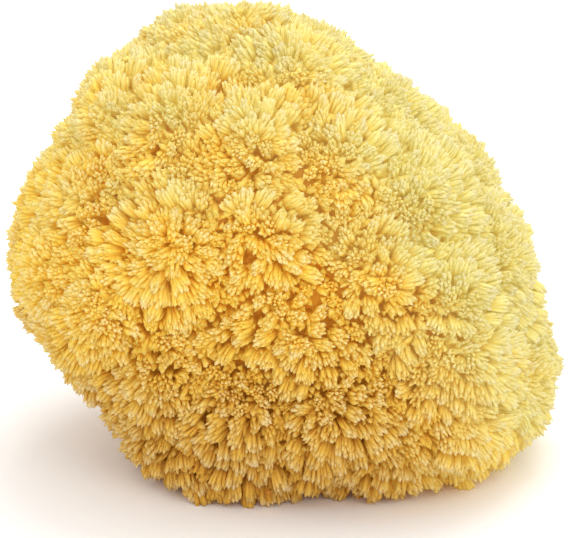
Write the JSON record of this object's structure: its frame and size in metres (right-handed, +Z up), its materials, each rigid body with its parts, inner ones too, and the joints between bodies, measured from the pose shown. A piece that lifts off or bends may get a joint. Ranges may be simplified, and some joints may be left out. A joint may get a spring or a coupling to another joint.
{
  "type": "sea sponge",
  "caption": "Natural sea wool bath sponge: a lopsided rounded dome of soft pointed tufts, cut flat underneath so that it stands.",
  "frame": {"origin": "middle of the footprint box, on the flat cut face that the sponge stands on", "axes": "+Z up, away from the cut face; +X along the width, towards the low right-hand foot; -Y towards the face that the picture shows"},
  "size_m": [0.15, 0.122, 0.121],
  "materials": {
    "sponge_wool": "matt golden-yellow fibrous wool, paler at the tips and orange-brown in the clefts"
  },
  "bodies": {
    "root": {"sponge": "sponge_wool"}
  },
  "joints": []
}
